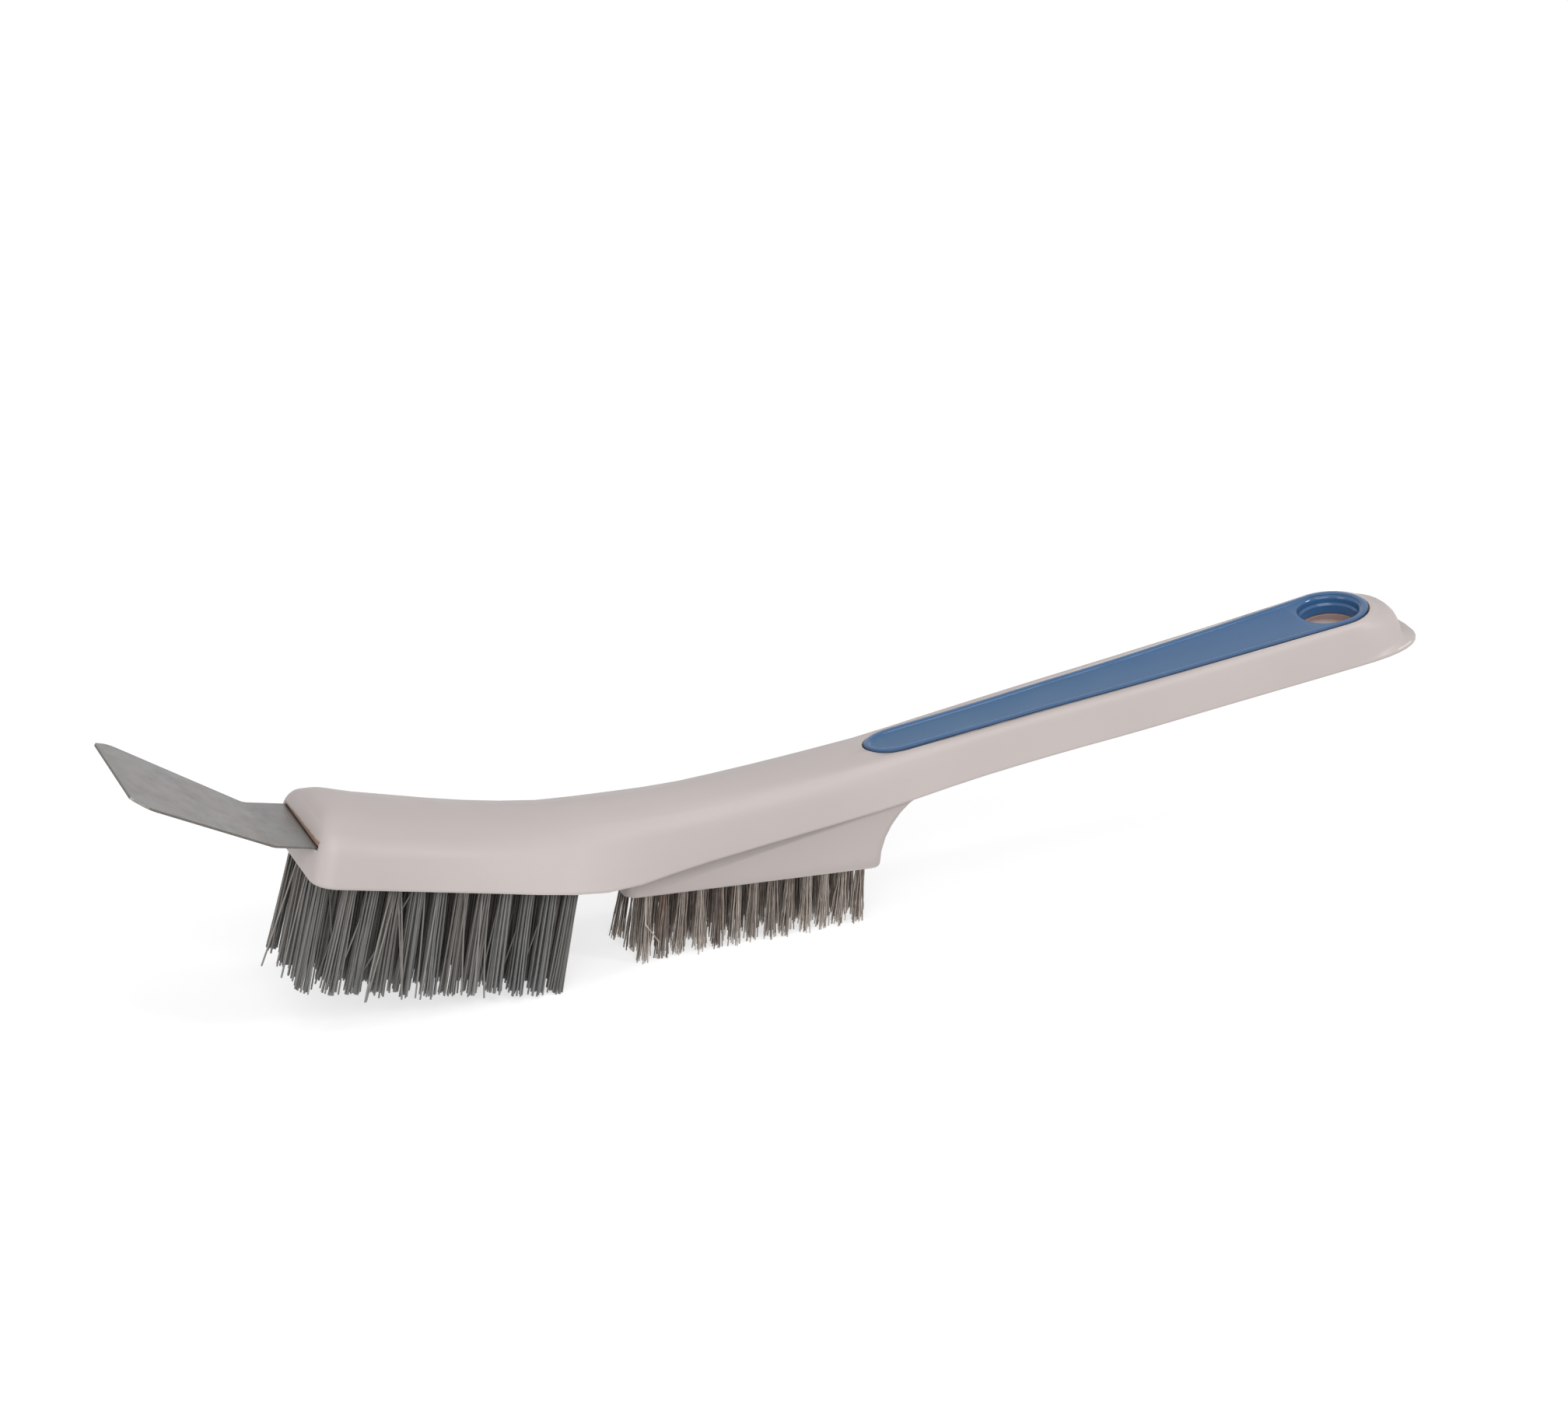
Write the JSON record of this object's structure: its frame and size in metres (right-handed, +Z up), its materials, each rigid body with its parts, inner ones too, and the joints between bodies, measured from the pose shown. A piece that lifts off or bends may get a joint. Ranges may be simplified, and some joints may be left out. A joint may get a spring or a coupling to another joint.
{
  "type": "grill brush",
  "caption": "Grill cleaning brush: bent steel scraper at the front, rows of nylon and of steel wire tufts below, and an upswept handle with an inlaid grip strip and a hanging hole.",
  "frame": {"origin": "centre of the bounding box in plan, on the surface that the brush stands on", "axes": "+X along the brush from the scraper's tip to the handle's tail, +Y across it, +Z up"},
  "size_m": [0.3436, 0.0388, 0.071],
  "materials": {
    "grey_plastic": "satin moulded grey plastic",
    "blue_plastic": "soft-gloss moulded blue plastic",
    "sheet_steel": "dull stamped steel sheet",
    "nylon": "dull grey nylon filament",
    "steel_wire": "dull brown-grey steel wire"
  },
  "bodies": {
    "root": {"body": "grey_plastic", "handle_insert": "blue_plastic", "scraper_blade": "sheet_steel", "nylon_row_01": "nylon", "nylon_row_02": "nylon", "nylon_row_03": "nylon", "nylon_row_04": "nylon", "nylon_row_05": "nylon", "nylon_row_06": "nylon", "nylon_row_07": "nylon", "nylon_row_08": "nylon", "nylon_row_09": "nylon", "nylon_row_10": "nylon", "nylon_row_11": "nylon", "nylon_row_12": "nylon", "wire_row_01": "steel_wire", "wire_row_02": "steel_wire", "wire_row_03": "steel_wire", "wire_row_04": "steel_wire", "wire_row_05": "steel_wire", "wire_row_06": "steel_wire", "wire_row_07": "steel_wire", "wire_row_08": "steel_wire", "wire_row_09": "steel_wire", "wire_row_10": "steel_wire", "wire_row_11": "steel_wire", "wire_row_12": "steel_wire", "wire_row_13": "steel_wire"}
  },
  "joints": []
}
